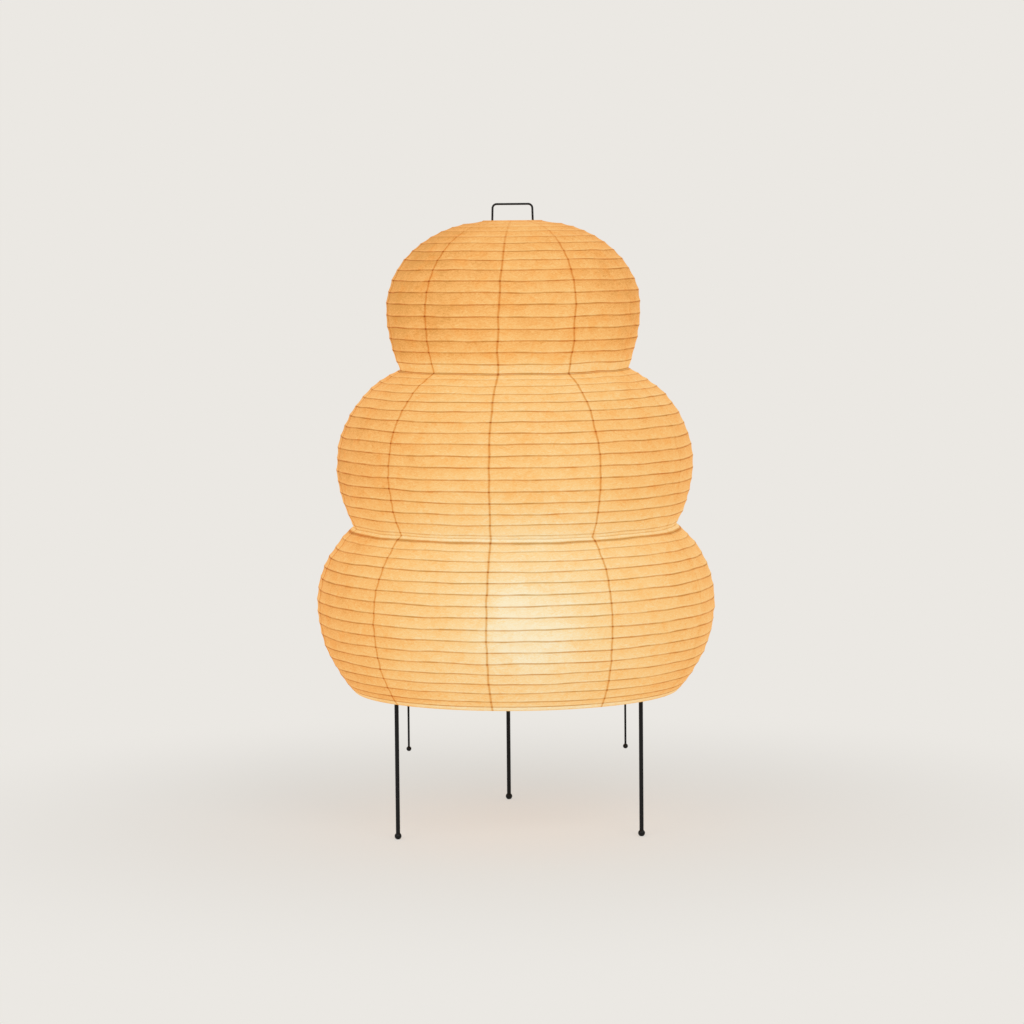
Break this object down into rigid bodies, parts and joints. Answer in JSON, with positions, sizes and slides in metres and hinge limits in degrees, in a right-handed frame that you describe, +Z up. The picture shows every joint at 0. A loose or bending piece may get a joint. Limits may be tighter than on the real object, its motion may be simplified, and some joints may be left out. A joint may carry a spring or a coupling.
{
  "type": "andon floor lamp",
  "caption": "Paper floor lamp of stacked washi lobes on bamboo hoops, on slender wire-rod legs, with a sliding wire stretcher whose top is a carrying loop.",
  "frame": {"origin": "on the floor, under the middle of the lamp, where the axis of the shade meets it", "axes": "+Z up along the shade's axis, -Y towards the front, +X to the right seen from the front"},
  "size_m": [0.5688, 0.5688, 0.9],
  "materials": {
    "black_steel": "satin black paint",
    "washi_paper": "warm white fibrous paper",
    "bamboo": "split and planed",
    "zinc_steel": "zinc plated",
    "black_plastic": "moulded, matt",
    "bulb_cap_metal": "rolled thread",
    "bulb_glass": "opal white"
  },
  "bodies": {
    "stand": {"leg_front_left": "black_steel", "leg_front_right": "black_steel", "leg_rear": "black_steel", "ball_feet": "black_steel", "rim_pegs": "black_steel", "hub_plate": "black_steel", "crossbar": "black_steel", "guide_sleeves": "black_steel", "rim_ring": "black_steel", "washi_strip_01": "washi_paper", "washi_strip_02": "washi_paper", "washi_strip_03": "washi_paper", "washi_strip_04": "washi_paper", "washi_strip_05": "washi_paper", "washi_strip_06": "washi_paper", "washi_strip_07": "washi_paper", "washi_strip_08": "washi_paper", "washi_strip_09": "washi_paper", "washi_strip_10": "washi_paper", "top_lobe_hoops": "bamboo", "middle_lobe_hoops": "bamboo", "bottom_lobe_hoops": "bamboo", "waist_hoops": "bamboo", "threaded_nipple": "zinc_steel", "lock_nut": "zinc_steel", "lampholder": "black_plastic", "bulb_cap": "bulb_cap_metal", "bulb_glass": "bulb_glass"},
    "stretcher": {"stretcher_wire": "black_steel", "top_ring": "black_steel", "ring_carrier": "black_steel", "ball_tips": "black_steel"}
  },
  "joints": [
    {"name": "stretcher_slide", "type": "slide", "parent": "stand", "child": "stretcher", "axis": [0, 0, -1], "range_m": [0, 0.1], "deforming": ["washi_strip_01", "washi_strip_02", "washi_strip_03", "washi_strip_04", "washi_strip_05", "washi_strip_06", "washi_strip_07", "washi_strip_08", "washi_strip_09", "washi_strip_10", "top_lobe_hoops", "middle_lobe_hoops", "bottom_lobe_hoops", "waist_hoops"]}
  ]
}
